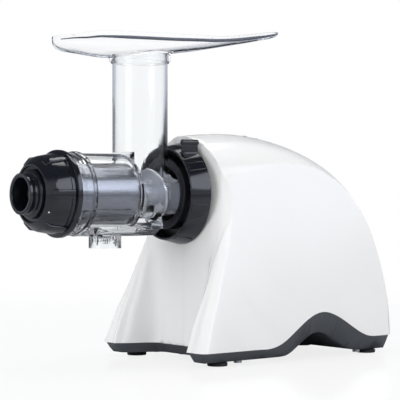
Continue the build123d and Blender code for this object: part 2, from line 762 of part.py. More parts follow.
with BuildPart() as locking_ring:
    with BuildSketch(Plane.XZ):
        with BuildLine():
            Polyline(
                *about(
                    axis_z, (ring_front_x, ring_bore_r - 1), (ring_front_x, ring_front_r - 0.6),
                    (ring_front_x + 0.6, ring_front_r), (ring_rear_x - 0.6, ring_rear_r),
                    (ring_rear_x, ring_rear_r - 0.6), (ring_rear_x, ring_bore_r - 1),
                ),
                close=True,
            )
        make_face()
    revolve(axis=drum_axis)
    # raised grips round the cone, with a thumb tab in the place of one of them
    ring_mid_x = (ring_front_x + ring_rear_x) / 2
    ring_mid_r = (ring_front_r + ring_rear_r) / 2
    for angle in (34, -17, -68, -119, -170, 139):
        out = Vector(0, -cos(radians(angle)), sin(radians(angle)))
        normal = out * cos(ring_slope) + Vector(-sin(ring_slope), 0, 0)
        along = Vector(cos(ring_slope), 0, 0) + out * sin(ring_slope)
        middle = Vector(ring_mid_x, 0, axis_z) + out * (ring_mid_r - 1.0)
        with Locations(Plane(middle, x_dir=along, z_dir=normal)):
            Box(ring_rear_x - ring_front_x - 3, 9.0, 3.4)
    with Locations((ring_mid_x, tab_y, axis_z + 42)):
        Box(ring_rear_x - ring_front_x - 4, 3.4, 17)
    with BuildSketch(across(ring_front_x + 1)):
        with Locations((tab_y, 50.0)):
            Circle(2.5)
    extrude(amount=ring_rear_x - ring_front_x - 1)
    # bore, with the groove that runs on the flange of the socket
    with BuildSketch(Plane.XZ):
        with BuildLine():
            Polyline(
                *about(
                    axis_z, (ring_front_x, 30), (ring_front_x, ring_front_r - 2.0),
                    (ring_front_x + 3, ring_bore_r), (groove_x - 0.3, ring_bore_r),
                    (groove_x - 0.3, ring_bore_r + 1.6), (groove_x + 2.7, ring_bore_r + 1.6),
                    (groove_x + 2.7, ring_bore_r), (ring_rear_x, ring_bore_r), (ring_rear_x, 30),
                ),
                close=True,
            )
        make_face()
    revolve(axis=drum_axis, mode=Mode.SUBTRACT)
    # bayonet tabs that hold the collar
    with BuildSketch(across(ring_front_x + 4.4)):
        Circle(ring_bore_r + 0.4)
        Circle(34 + 6 * fit, mode=Mode.SUBTRACT)
        with PolarLocations(0, bayonet_count, start_angle=lock_turn):
            Polygon(*bayonet_gap, align=None, mode=Mode.SUBTRACT)
    extrude(amount=bayonet_thick)
finish(locking_ring, "locking_ring")

# ---- Feed tray --------------------------------------------------------------------
def tray_section(t, inset):
    """Half width, rim height and depth across the dish, t degrees along its length."""
    along = cos(radians(t))
    w = tray_half * sin(radians(t)) ** 0.85 - inset
    rim = tray_rim_z + tray_rear_rise * ease(0.5 + (along - 0.6) / 0.94)
    rim -= tray_front_drop * ease((-0.73 - along) / 0.3)
    deep = tray_front_depth + (tray_rear_depth - tray_front_depth) * ease((along + 0.7) / 1.2)
    deep = deep * sin(radians(t)) ** 0.5 - inset
    return tray_x + tray_half_len * along, w, rim, max(deep, 0.4)


def tray_hull(inset, lift):
    tip = 4 + 3.0 * inset
    with BuildPart() as hull:
        for t in [tip + (90 - tip) * i / 20 for i in range(41)]:
            x, w, rim, deep = tray_section(t, inset)
            with BuildSketch(Plane.YZ.offset(x)):
                with BuildLine():
                    half = [(w, rim), (w * 0.985, rim - deep * 0.4), (w * 0.86, rim - deep * 0.72)]
                    half += [(w * 0.5, rim - deep * 0.92), (0, rim - deep)]
                    mirrored = [(-y, z) for y, z in reversed(half[:-1])]
                    Spline(*half, *mirrored)
                    if lift:
                        Polyline(mirrored[-1], (-w, rim + lift), (w, rim + lift), half[0])
                    else:
                        Line(mirrored[-1], half[0])
                make_face()
        loft(ruled=True)
    return hull.part


with BuildPart() as feed_tray:
    add(tray_hull(0.0, 0))
    with BuildSketch(Plane.XY.offset(tray_collar_z)):
        with Locations((tube_x, 0)):
            Circle(tray_collar_r)
    extrude(amount=tray_rim_z - 0.46 * tray_front_depth - tray_collar_z)
    add(tray_hull(tray_wall, 6.0), mode=Mode.SUBTRACT)
    with BuildSketch(Plane.XY.offset(tray_collar_z)):
        with Locations((tube_x, 0)):
            Circle(tube_r + fit)
    extrude(amount=20, mode=Mode.SUBTRACT)
finish(feed_tray, "feed_tray")

# ---- Gearbox ----------------------------------------------------------------------
post_spots = [(s * 32, z) for s in (-1, 1) for z in (plate_top_z - 7, motor_z - 45)]
motor_screw_spots = [(28, motor_z), (0, motor_z + 28), (-28, motor_z), (0, motor_z - 28)]


def plate_outline(low):
    return [
        (-plate_half, low), (plate_half, low), (plate_half, plate_top_z - 12),
        (plate_half - 12, plate_top_z), (12 - plate_half, plate_top_z), (-plate_half, plate_top_z - 12),
    ]


with BuildPart() as front_plate:
    with BuildSketch(Plane.YZ.offset(plate_front_x)):
        with BuildLine():
            Polyline(*plate_outline(floor_top + running), close=True)
        make_face()
        with Locations((0, axis_z)):
            Circle(bearing_r, mode=Mode.SUBTRACT)
        with Locations((idler_y, idler_z)):
            Circle(bush_r, mode=Mode.SUBTRACT)
        with Locations(*post_spots, *socket_screw_spots):
            Circle(screw_r, mode=Mode.SUBTRACT)
    extrude(amount=plate_thick)
    with Locations((plate_front_x + 8, 0, floor_top + 1.55)):
        Box(16, 2 * plate_half, 3)
    with BuildSketch(Plane.XY):
        with Locations(*plate_screw_places[2:]):
            Circle(screw_r)
    extrude(amount=30, mode=Mode.SUBTRACT)
finish(front_plate, "front_plate")

with BuildPart() as rear_plate:
    with BuildSketch(Plane.YZ.offset(plate_rear_x)):
        with BuildLine():
            Polyline(*plate_outline(post_z), close=True)
        make_face()
        with Locations((0, axis_z)):
            Circle(bearing_r, mode=Mode.SUBTRACT)
        with Locations((idler_y, idler_z)):
            Circle(bush_r, mode=Mode.SUBTRACT)
        with Locations((0, motor_z)):
            Circle(8, mode=Mode.SUBTRACT)
        with Locations(*post_spots, *motor_screw_spots):
            Circle(screw_r, mode=Mode.SUBTRACT)
    extrude(amount=plate_thick)
    with BuildSketch(Plane.XY):
        with Locations(*plate_feet):
            Circle(screw_r)
    extrude(amount=30, mode=Mode.SUBTRACT)
finish(rear_plate, "rear_plate")

with BuildPart() as spacer_posts:
    with BuildSketch(Plane.YZ.offset(plate_front_x + plate_thick)):
        with Locations(*post_spots):
            Circle(post_r)
            Circle(screw_r, mode=Mode.SUBTRACT)
    extrude(amount=plate_rear_x - plate_front_x - plate_thick)
finish(spacer_posts, "spacer_posts")

with BuildPart() as plate_bolts:
    for x, sign in ((plate_front_x, -1), (plate_rear_end, 1)):
        with BuildSketch(Plane.YZ.offset(x)):
            with Locations(*post_spots):
                Circle(3.6)
        extrude(amount=sign * 2.6)
        with BuildSketch(Plane.YZ.offset(x)):
            with Locations(*post_spots):
                Circle(screw_r)
        extrude(amount=-sign * (plate_thick + 10))
finish(plate_bolts, "plate_bolts")

with BuildPart() as socket_screws:
    with BuildSketch(Plane.YZ.offset(plate_front_x + plate_thick)):
        with Locations(*socket_screw_spots):
            Circle(3.6)
    extrude(amount=2.0)
    with BuildSketch(Plane.YZ.offset(plate_front_x + plate_thick)):
        with Locations(*socket_screw_spots):
            Circle(screw_r)
    extrude(amount=-plate_thick - 9)
finish(socket_screws, "socket_screws")

with BuildPart() as output_shaft:
    with BuildSketch(across(auger_rear_x)):
        Circle(shaft_r - running)
    extrude(amount=plate_rear_end - auger_rear_x)
    with BuildSketch(across(auger_rear_x)):
        RegularPolygon(hex_af / 2, 6, major_radius=False)
    extrude(amount=-17)
finish(output_shaft, "output_shaft")

with BuildPart() as output_bearings:
    for x, extra in ((plate_front_x, 2.0), (plate_rear_x, 0.0)):
        with BuildSketch(across(x)):
            Circle(bearing_r)
            Circle(shaft_r, mode=Mode.SUBTRACT)
        extrude(amount=plate_thick + extra)
finish(output_bearings, "output_bearings")

with BuildPart() as idler_bushes:
    for x in (plate_front_x, plate_rear_x):
        with BuildSketch(across(x, idler_y, idler_z)):
            Circle(bush_r)
            Circle(idler_shaft_r, mode=Mode.SUBTRACT)
        extrude(amount=plate_thick)
finish(idler_bushes, "idler_bushes")

with BuildPart() as idler_shaft:
    with BuildSketch(across(plate_front_x + 0.3, idler_y, idler_z)):
        Circle(idler_shaft_r - running)
    extrude(amount=plate_rear_end - plate_front_x - 0.6)
finish(idler_shaft, "idler_shaft")


def spur_gear(x, thick, y, z, module, teeth, bore, first_tooth):
    """A gear across X with one tooth centred at the angle first_tooth, in degrees."""
    pitch = module * teeth / 2
    step = 360 / teeth
    profile = []
    for i in range(teeth):
        centre = first_tooth + i * step
        for share, radius in (
            (-0.27, pitch - 1.2 * module), (-0.1, pitch + 0.85 * module),
            (0.1, pitch + 0.85 * module), (0.27, pitch - 1.2 * module),
        ):
            a = radians(centre + share * step)
            profile.append((radius * cos(a), radius * sin(a)))
    with BuildPart() as wheel:
        with BuildSketch(across(x, y, z)):
            with BuildLine():
                Polyline(*profile, close=True)
            make_face()
            Circle(bore, mode=Mode.SUBTRACT)
        extrude(amount=thick)
    return wheel


to_idler = degrees(atan2(idler_z - axis_z, idler_y))
to_motor = degrees(atan2(motor_z - idler_z, -idler_y))
gap_small = 180 / teeth_small
output_gear = spur_gear(
    gear_out_x, 12, 0, axis_z, module_out, teeth_out, shaft_r - running, to_idler
)
finish(output_gear, "output_gear")
idler_pinion = spur_gear(
    gear_out_x - 1, 14, idler_y, idler_z, module_out, teeth_small, idler_shaft_r - running,
    to_idler + 180 + gap_small,
)
finish(idler_pinion, "idler_pinion")
idler_gear = spur_gear(
    gear_in_x, 8, idler_y, idler_z, module_in, teeth_idler, idler_shaft_r - running, to_motor
)
finish(idler_gear, "idler_gear")
motor_pinion = spur_gear(
    gear_in_x - 1, 10, 0, motor_z, module_in, teeth_small, motor_shaft_r - running,
    to_motor + 180 + gap_small,
)
finish(motor_pinion, "motor_pinion")

# ---- Motor ------------------------------------------------------------------------
bell = 4.0

with BuildPart() as motor_front_bell:
    with BuildSketch(across(motor_front_x, 0, motor_z)):
        Circle(motor_r)
        Circle(motor_bush_r, mode=Mode.SUBTRACT)
        with Locations(*[(y, z - motor_z) for y, z in motor_screw_spots]):
            Circle(screw_r, mode=Mode.SUBTRACT)
    extrude(amount=bell)
finish(motor_front_bell, "motor_front_bell")

with BuildPart() as motor_can:
    with BuildSketch(across(motor_front_x + bell, 0, motor_z)):
        Circle(motor_r)
        Circle(motor_r - 2, mode=Mode.SUBTRACT)
    extrude(amount=motor_len - 2 * bell)
finish(motor_can, "motor_can")

with BuildPart() as motor_rear_bell:
    with BuildSketch(across(motor_rear_x - bell, 0, motor_z)):
        Circle(motor_r)
        Circle(motor_bush_r, mode=Mode.SUBTRACT)
        with PolarLocations(24, 6):
            SlotOverall(14, 5, mode=Mode.SUBTRACT)
    extrude(amount=bell)
finish(motor_rear_bell, "motor_rear_bell")

with BuildPart() as motor_bushes:
    for x in (motor_front_x, motor_rear_x - bell):
        with BuildSketch(across(x, 0, motor_z)):
            Circle(motor_bush_r)
            Circle(motor_shaft_r, mode=Mode.SUBTRACT)
        extrude(amount=bell)
finish(motor_bushes, "motor_bushes")

with BuildPart() as stator:
    with BuildSketch(across(stack_x, 0, motor_z)):
        Circle(motor_r - 2)
        Circle(21, mode=Mode.SUBTRACT)
        with PolarLocations(27, 8):
            SlotOverall(9, 6, mode=Mode.SUBTRACT)
    extrude(amount=stack_len)
finish(stator, "stator")

with BuildPart() as stator_windings:
    for x in (stack_x - 6, stack_x + stack_len):
        with BuildSketch(across(x, 0, motor_z)):
            Circle(34)
            Circle(23, mode=Mode.SUBTRACT)
        extrude(amount=6)
    fillet(stator_windings.edges().filter_by(GeomType.CIRCLE), radius=1.5)
finish(stator_windings, "stator_windings")

with BuildPart() as rotor:
    with BuildSketch(across(stack_x, 0, motor_z)):
        Circle(20.4)
        Circle(motor_shaft_r - running, mode=Mode.SUBTRACT)
    extrude(amount=stack_len)
finish(rotor, "rotor")

with BuildPart() as motor_shaft:
    with BuildSketch(across(gear_in_x - 2, 0, motor_z)):
        Circle(motor_shaft_r - running)
    extrude(amount=motor_rear_x + 15 - gear_in_x)
finish(motor_shaft, "motor_shaft")

with BuildPart() as cooling_fan:
    with BuildSketch(across(motor_rear_x + 2, 0, motor_z)):
        Circle(9)
        Circle(motor_shaft_r - running, mode=Mode.SUBTRACT)
    extrude(amount=11)
    for i in range(7):
        angle = radians(360 / 7 * i)
        out = Vector(0, cos(angle), sin(angle))
        middle = Vector(motor_rear_x + 7.5, 0, motor_z) + out * 21
        with Locations(Plane(middle, x_dir=out, z_dir=Vector(0, -sin(angle), cos(angle)))):
            with Locations(Rotation(25, 0, 0)):
                Box(27, 11, 1.6)
finish(cooling_fan, "cooling_fan")

with BuildPart() as motor_screws:
    with BuildSketch(Plane.YZ.offset(plate_rear_x)):
        with Locations(*motor_screw_spots):
            Circle(3.6)
    extrude(amount=-2.4)
    with BuildSketch(Plane.YZ.offset(plate_rear_x)):
        with Locations(*motor_screw_spots):
            Circle(screw_r)
    extrude(amount=plate_thick + bell)
finish(motor_screws, "motor_screws")

# ---- Electrics --------------------------------------------------------------------
with BuildPart() as control_board:
    with Locations((board_front_x + board_len / 2, 0, board_z + 0.8)):
        Box(board_len, 2 * board_half, 1.6)
    for x, y, size in ((9, -12, (11, 15, 9)), (25, -14, (12, 12, 14)), (26, 17, (9, 9, 5))):
        with Locations((board_front_x + x, y, board_z + 1.6 + size[2] / 2)):
            Box(*size)
finish(control_board, "control_board")

with BuildPart() as capacitor:
    with BuildSketch(Plane.XY.offset(board_z + 1.6)):
        with Locations((board_front_x + 10, 12)):
            Circle(8)
    extrude(amount=26)
    fillet(capacitor.edges().group_by(Axis.Z)[-1], radius=1)
finish(capacitor, "capacitor")

with BuildPart() as switch_bezel:
    # flange that bears on the inside of the roof, and a body that ends flush with it
    with BuildSketch(switch_face.offset(-9)):
        Rectangle(switch_len + 6, switch_wide + 6)
    extrude(amount=9)
    add(inner_form, mode=Mode.INTERSECT)
    with BuildSketch(switch_face.offset(-26)):
        Rectangle(switch_len, switch_wide)
    extrude(amount=28)
    add(outer_form, mode=Mode.INTERSECT)
    with BuildSketch(switch_face.offset(-16)):
        Rectangle(2 * rocker_r + 1.0, switch_wide - 6)
    extrude(amount=20, mode=Mode.SUBTRACT)
    with BuildSketch(switch_side):
        with Locations((0, rocker_pivot)):
            Circle(1.5 + running)
    extrude(amount=switch_wide / 2 - 1, both=True, mode=Mode.SUBTRACT)
finish(switch_bezel, "switch_bezel")

with BuildPart() as rocker_switch:
    with BuildSketch(switch_side):
        with Locations((0, rocker_pivot)):
            Circle(rocker_r)
        Polygon((-12, -10), (12, -10), (12, 1.2), (0, -0.6), (-12, 1.2), align=None, mode=Mode.INTERSECT)
    extrude(amount=switch_wide / 2 - 3.4, both=True)
    with BuildSketch(switch_side):
        with Locations((0, rocker_pivot)):
            Circle(1.5)
    extrude(amount=switch_wide / 2 - 1.2, both=True)
finish(rocker_switch, "rocker_switch")

with BuildPart() as mains_inlet:
    # flange that bears on the inside of the rear wall
    with Locations((rear_x - 6, 0, inlet_z)):
        Box(6, 2 * inlet_half + 6, inlet_high + 6)
    add(inner_form, mode=Mode.INTERSECT)
    with Locations((rear_x - 0.8 - inlet_depth / 2, 0, inlet_z)):
        Box(inlet_depth, 2 * inlet_half, inlet_high)
    with Locations((rear_x - 0.8 - (inlet_depth - 3) / 2, 0, inlet_z)):
        Box(inlet_depth - 3, 2 * inlet_half - 4, inlet_high - 4, mode=Mode.SUBTRACT)
    for y, z in ((-7, -2), (0, 3), (7, -2)):
        with Locations((rear_x - 0.8 - inlet_depth / 2 - 2, y, inlet_z + z)):
            Box(inlet_depth - 5, 2, 4)
finish(mains_inlet, "mains_inlet")
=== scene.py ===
# %% [markdown]
# # A horizontal cold press juicer
# The machine is a white arched motor housing on a dark base, with a clear pressing
# drum held on its nose by a black locking ring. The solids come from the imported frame,
# in metres, with the screw's axis along X and the feet on Z = 0. This lesson dresses
# them: it smooths what shows, models the softly rounded mouldings again with edit-mode
# tools, and gives every piece a procedural finish.

# %% Load the frame
import json
from math import cos, radians

import bpy
from mathutils import Matrix, Vector

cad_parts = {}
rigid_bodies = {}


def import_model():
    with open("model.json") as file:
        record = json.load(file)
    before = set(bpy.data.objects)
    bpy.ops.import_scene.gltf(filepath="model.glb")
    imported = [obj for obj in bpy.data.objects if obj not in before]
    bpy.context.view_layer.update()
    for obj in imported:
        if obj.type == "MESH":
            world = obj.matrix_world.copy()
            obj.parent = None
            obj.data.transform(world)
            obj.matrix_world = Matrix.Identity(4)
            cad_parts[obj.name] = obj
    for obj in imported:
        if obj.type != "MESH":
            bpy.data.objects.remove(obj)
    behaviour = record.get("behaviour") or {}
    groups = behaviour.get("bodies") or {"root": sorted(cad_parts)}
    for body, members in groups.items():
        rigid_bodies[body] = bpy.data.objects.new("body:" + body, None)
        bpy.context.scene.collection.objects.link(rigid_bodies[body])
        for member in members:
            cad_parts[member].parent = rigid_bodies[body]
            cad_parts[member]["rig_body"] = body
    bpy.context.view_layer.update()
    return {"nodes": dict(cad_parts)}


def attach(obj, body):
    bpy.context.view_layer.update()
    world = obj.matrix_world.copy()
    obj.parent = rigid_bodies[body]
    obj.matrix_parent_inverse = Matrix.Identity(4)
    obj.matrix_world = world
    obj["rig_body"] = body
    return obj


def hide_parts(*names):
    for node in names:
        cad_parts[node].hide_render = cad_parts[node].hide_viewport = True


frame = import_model()
axis_z = 0.160

# %% [markdown]
# ## Camera
# The view is from the nozzle's side, a little above the screw's axis. A short lens close
# up would swell the nozzle, so the lens is long and stands well back, which keeps the
# housing's proportions. The camera comes first so that every later step can be judged
# through it.

# %% Camera
camera_place = (-0.9858, -1.3236, 0.1656)
camera_tilt_down = 0.412
camera_heading = -36.68
camera_data = bpy.data.cameras.new("camera")
camera_data.lens = 153.0
camera_data.sensor_width = 36.0
camera_data.clip_end = 20.0
camera = bpy.data.objects.new("camera", camera_data)
camera.location = camera_place
camera.rotation_euler = (radians(90 - camera_tilt_down), 0, radians(camera_heading))
bpy.context.scene.collection.objects.link(camera)
bpy.context.scene.camera = camera
print("camera", tuple(camera.location))

# %% [markdown]
# ## Helpers for selecting and finishing
# Operators act on everything that is selected, and loading the frame leaves its nodes
# selected, so each step starts from an empty selection. A finished piece keeps its
# object at the origin, unturned and unscaled, with its place in its mesh. A piece that
# stands for a solid rides on the same body, so that it moves with the same joint.


# %% Helpers
def only(piece):
    """Select this piece alone and make it the active one."""
    bpy.ops.object.select_all(action="DESELECT")
    piece.select_set(True)
    bpy.context.view_layer.objects.active = piece


def settle(piece):
    """Move the object's place, turn and scale into its mesh."""
    only(piece)
    bpy.ops.object.transform_apply(location=True, rotation=True, scale=True)


def smooth(piece, angle):
    """Shade smooth across edges that turn by less than this angle, in degrees."""
    only(piece)
    bpy.ops.object.shade_smooth_by_angle(angle=radians(angle))


def stand_for(piece, node):
    """Let a piece ride on its solid's body and replace that solid."""
    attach(piece, frame["nodes"][node]["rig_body"])
    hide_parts(node)


only(camera)
print("selected", [piece.name for piece in bpy.context.selected_objects])

# %% [markdown]
# ## Finishes
# Every finish is a Principled shader with a little life in it: noise moves the
# roughness, and a fine bump gives moulded plastic its faint unevenness. Image textures
# would do the same, but they need unwrapping and wash out close up. These patterns read
# Object coordinates instead, so they need no unwrapping and sit still on the pieces.


# %% Finish helper
def finish(name, color, roughness, grain=400.0, bump=0.02, vary=0.03, metallic=0.0, **sockets):
    """A moulded or ground finish: noise varies its roughness and adds a fine bump."""
    cloud_scale = 18.0
    bump_depth = 0.001
    material = bpy.data.materials.new(name)
    material.use_nodes = True
    nodes, links = material.node_tree.nodes, material.node_tree.links
    shader = nodes["Principled BSDF"]
    shader.inputs["Base Color"].default_value = (*color, 1.0)
    shader.inputs["Metallic"].default_value = metallic
    for socket, value in sockets.items():
        shader.inputs[socket.replace("_", " ")].default_value = value
    place = nodes.new("ShaderNodeTexCoord")
    cloudy = nodes.new("ShaderNodeTexNoise")
    cloudy.inputs["Scale"].default_value = cloud_scale
    cloudy.inputs["Detail"].default_value = 4.0
    links.new(place.outputs["Object"], cloudy.inputs["Vector"])
    spread = nodes.new("ShaderNodeMapRange")
    spread.inputs["To Min"].default_value = max(roughness - vary, 0.0)
    spread.inputs["To Max"].default_value = roughness + vary
    links.new(cloudy.outputs["Fac"], spread.inputs["Value"])
    links.new(spread.outputs["Result"], shader.inputs["Roughness"])
    fine = nodes.new("ShaderNodeTexNoise")
    fine.inputs["Scale"].default_value = grain
    fine.inputs["Detail"].default_value = 2.0
    links.new(place.outputs["Object"], fine.inputs["Vector"])
    relief = nodes.new("ShaderNodeBump")
    relief.inputs["Strength"].default_value = bump
    relief.inputs["Distance"].default_value = bump_depth
    links.new(fine.outputs["Fac"], relief.inputs["Height"])
    links.new(relief.outputs["Normal"], shader.inputs["Normal"])
    return material


# %% [markdown]
# ### Plastics
# The housing is high-gloss white, the base a dark satin charcoal, and the cap, nozzle
# and ring are polished black with a cool tint. Gloss could come from a low roughness
# alone, but a coat over a slightly rougher body gives the two highlights of lacquered
# plastic. The drum, its tube and the tray are clear plastic, which is all transmission
# with a polished surface. Their index of refraction is lower than real plastic has,
# because each wall has an inner and an outer face and the edges would turn too dark.

# %% Plastics
white_housing = finish(
    "white_housing", (0.84, 0.84, 0.845), 0.14, grain=260.0, bump=0.006, Coat_Weight=0.4,
    Coat_Roughness=0.05,
)
dark_base = finish("dark_base", (0.056, 0.062, 0.072), 0.36, grain=1800.0, bump=0.05)
foot_rubber = finish("foot_rubber", (0.012, 0.012, 0.014), 0.7, grain=1500.0, bump=0.12)
black_gloss = finish(
    "black_gloss", (0.006, 0.007, 0.011), 0.13, grain=300.0, bump=0.006, Coat_Weight=0.5,
    Coat_Roughness=0.06,
)
black_satin = finish("black_satin", (0.009, 0.010, 0.013), 0.3, grain=900.0, bump=0.03)
clear_plastic = finish(
    "clear_plastic", (0.97, 0.98, 0.985), 0.01, grain=25.0, bump=0.0, vary=0.008,
    Transmission_Weight=1.0, IOR=1.32,
)
tray_plastic = finish(
    "tray_plastic", (0.985, 0.988, 0.995), 0.01, grain=25.0, bump=0.0, vary=0.008,
    Transmission_Weight=1.0, IOR=1.035, Coat_Weight=0.15, Coat_Roughness=0.02,
)
inlay_plastic = finish(
    "inlay_plastic", (0.060, 0.070, 0.095), 0.3, grain=700.0, bump=0.01, Coat_Weight=0.3,
)
smoky_plastic = finish(
    "smoky_plastic", (0.24, 0.25, 0.29), 0.22, grain=300.0, bump=0.01, metallic=0.7,
    Coat_Weight=1.0, Coat_Roughness=0.04,
)
screw_plastic = finish(
    "screw_plastic", (0.80, 0.82, 0.88), 0.26, grain=500.0, bump=0.02, metallic=0.7,
    Coat_Weight=1.0, Coat_Roughness=0.06,
)
seal_rubber = finish("seal_rubber", (0.02, 0.02, 0.022), 0.6, grain=1500.0, bump=0.08)
gear_nylon = finish("gear_nylon", (0.78, 0.75, 0.64), 0.4, grain=900.0, bump=0.04)
fan_plastic = finish("fan_plastic", (0.02, 0.02, 0.022), 0.4, grain=900.0, bump=0.04)
board_green = finish("board_green", (0.02, 0.13, 0.05), 0.4, grain=1200.0, bump=0.05)
capacitor_sleeve = finish(
    "capacitor_sleeve", (0.02, 0.03, 0.11), 0.35, grain=700.0, bump=0.02,
)
print("finishes so far", len(bpy.data.materials))

# %% [markdown]
# ### Finishes that change with place
# The screw is silvery grey in the drum and olive at its tip, which is what shows inside
# the nozzle. The clear drum is painted grey low down at its thick rail, as painted shade,
# and clear again at the spout. The cap carries one white dot that marks the locked
# position. Each of these could be a separate piece with its own finish, but a moulding is
# one piece, so its one finish reads where it is.


# %% Finishes that change with place
def blend_color(material, share, color):
    """Mix a finish's base colour with another by the share that a socket gives."""
    nodes, links = material.node_tree.nodes, material.node_tree.links
    base = nodes["Principled BSDF"].inputs["Base Color"]
    mix = nodes.new("ShaderNodeMix")
    mix.data_type = "RGBA"
    mix.inputs["A"].default_value = base.default_value
    mix.inputs["B"].default_value = (*color, 1.0)
    if base.is_linked:
        links.new(base.links[0].from_socket, mix.inputs["A"])
    links.new(share, mix.inputs["Factor"])
    links.new(mix.outputs["Result"], base)


def tinted(material, axis, color, start, end):
    """Give a finish another colour beyond start along an axis, in metres, fully by end."""
    nodes, links = material.node_tree.nodes, material.node_tree.links
    split = nodes.new("ShaderNodeSeparateXYZ")
    links.new(nodes["Texture Coordinate"].outputs["Object"], split.inputs["Vector"])
    share = nodes.new("ShaderNodeMapRange")
    share.inputs["From Min"].default_value = start
    share.inputs["From Max"].default_value = end
    links.new(split.outputs[axis], share.inputs["Value"])
    blend_color(material, share.outputs["Result"], color)


def dotted(material, place, radius, color):
    """Paint a round dot on a finish where it comes near a place, in metres."""
    nodes, links = material.node_tree.nodes, material.node_tree.links
    away = nodes.new("ShaderNodeVectorMath")
    away.operation = "DISTANCE"
    away.inputs[1].default_value = place
    links.new(nodes["Texture Coordinate"].outputs["Object"], away.inputs[0])
    inside = nodes.new("ShaderNodeMath")
    inside.operation = "LESS_THAN"
    inside.inputs[1].default_value = radius
    links.new(away.outputs["Value"], inside.inputs[0])
    blend_color(material, inside.outputs["Value"], color)


olive = (0.05, 0.075, 0.03)
# the grey for the drum's rail is painted shade on clear plastic
rail_painted_shade = (0.76, 0.77, 0.78)
spout_clear = (0.95, 0.96, 0.97)
dot_white = (0.8, 0.8, 0.8)
tinted(screw_plastic, "X", olive, start=-0.150, end=-0.175)
# Painted shade: the clear plastic turns grey low down at the rail, and the next tint makes it
# clear again at the spout.
tinted(clear_plastic, "Z", rail_painted_shade, start=0.142, end=0.134)
tinted(clear_plastic, "Z", spout_clear, start=0.1225, end=0.1205)
dotted(black_gloss, (-0.1876, -0.0262, 0.1436), 0.0007, dot_white)
print("placed finishes ready")

# %% [markdown]
# ### Metals
# Inside are ground steel shafts, aluminium plates, bronze bushes, stacked laminations
# and copper windings. They differ mostly in tint, roughness and the size of the grain,
# so the same helper makes them all with the metallic value turned up.

# %% Metals
shaft_steel = finish(
    "shaft_steel", (0.60, 0.60, 0.62), 0.22, grain=2500.0, bump=0.03, metallic=1.0,
)
screw_steel = finish(
    "screw_steel", (0.52, 0.52, 0.54), 0.3, grain=1800.0, bump=0.05, metallic=1.0,
)
gear_steel = finish(
    "gear_steel", (0.42, 0.42, 0.44), 0.34, grain=1600.0, bump=0.06, metallic=1.0,
)
plate_metal = finish(
    "plate_metal", (0.70, 0.71, 0.73), 0.38, grain=900.0, bump=0.05, metallic=1.0,
)
bush_bronze = finish(
    "bush_bronze", (0.62, 0.40, 0.17), 0.34, grain=1800.0, bump=0.06, metallic=1.0,
)
motor_case = finish(
    "motor_case", (0.16, 0.17, 0.18), 0.42, grain=700.0, bump=0.05, metallic=0.6,
)
lamination = finish(
    "lamination", (0.24, 0.24, 0.25), 0.5, grain=2600.0, bump=0.15, metallic=0.9,
)
copper_wire = finish(
    "copper_wire", (0.66, 0.27, 0.10), 0.28, grain=1500.0, bump=0.2, metallic=1.0,
)
print("finishes with the metals", len(bpy.data.materials))

# %% [markdown]
# ## Paint the inner parts
# The gearbox, motor and electrics are out of sight from most sides, and their solids
# are already right. They could be modelled again like the outer parts, but nothing would
# be gained, so they only take a finish.

# %% Inner parts
inner_finishes = {
    "housing_screws": screw_steel,
    "shaft_seal": seal_rubber,
    "cap_seal": seal_rubber,
    "nozzle_seal": seal_rubber,
    "front_plate": plate_metal,
    "rear_plate": plate_metal,
    "spacer_posts": shaft_steel,
    "plate_bolts": screw_steel,
    "socket_screws": screw_steel,
    "output_shaft": shaft_steel,
    "output_bearings": bush_bronze,
    "idler_bushes": bush_bronze,
    "idler_shaft": shaft_steel,
    "output_gear": gear_nylon,
    "idler_pinion": gear_steel,
    "idler_gear": gear_nylon,
    "motor_pinion": gear_steel,
    "motor_front_bell": motor_case,
    "motor_can": motor_case,
    "motor_rear_bell": motor_case,
    "motor_bushes": bush_bronze,
    "stator": lamination,
    "stator_windings": copper_wire,
    "rotor": lamination,
    "motor_shaft": shaft_steel,
    "cooling_fan": fan_plastic,
    "motor_screws": screw_steel,
    "control_board": board_green,
    "capacitor": capacitor_sleeve,
}


def paint(piece, material):
    """Give a piece this one finish."""
    piece.data.materials.clear()
    piece.data.materials.append(material)


for name, material in inner_finishes.items():
    paint(frame["nodes"][name], material)
print("painted", len(inner_finishes))

# %% [markdown]
# ## Smooth copies of the outer mouldings
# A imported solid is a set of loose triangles, which would show as facets on gloss. Each
# outer part could be modelled from nothing, but the solids already have the right
# curves. So each is copied, the copy's doubles are merged, and it is shaded smooth
# wherever two faces meet at less than a set angle. Normals weighted by the size of the
# faces keep the large surfaces calm. The copy then stands for its solid.


# %% Smooth copies
def smooth_copy(node, material, angle=28.0):
    """Copy a solid, join its loose triangles and shade it smooth below an angle."""
    source = frame["nodes"][node]
    piece = bpy.data.objects.new(node + "_skin", source.data.copy())
    bpy.context.scene.collection.objects.link(piece)
    only(piece)
    bpy.ops.object.mode_set(mode="EDIT")
    bpy.ops.mesh.select_all(action="SELECT")
    bpy.ops.mesh.remove_doubles(threshold=0.000004)
    bpy.ops.object.mode_set(mode="OBJECT")
    smooth(piece, angle)
    even = piece.modifiers.new("even_normals", "WEIGHTED_NORMAL")
    even.keep_sharp = True
    even.weight = 90
    bpy.ops.object.modifier_apply(modifier=even.name)
    paint(piece, material)
    stand_for(piece, node)
    print(piece.name, len(piece.data.polygons), "faces")
    return piece


smooth_copy("housing_shell", white_housing, 35.0)
smooth_copy("base_tray", dark_base, 30.0)
smooth_copy("rubber_feet", foot_rubber)
smooth_copy("drum", clear_plastic)
smooth_copy("juicing_screen", smoky_plastic)
smooth_copy("auger", screw_plastic)
smooth_copy("drum_collar", black_satin)
smooth_copy("drum_socket", black_satin)
tray = smooth_copy("feed_tray", tray_plastic, 40.0)
smooth_copy("switch_bezel", white_housing, 35.0)
smooth_copy("rocker_switch", black_satin)
smooth_copy("mains_inlet", black_satin)

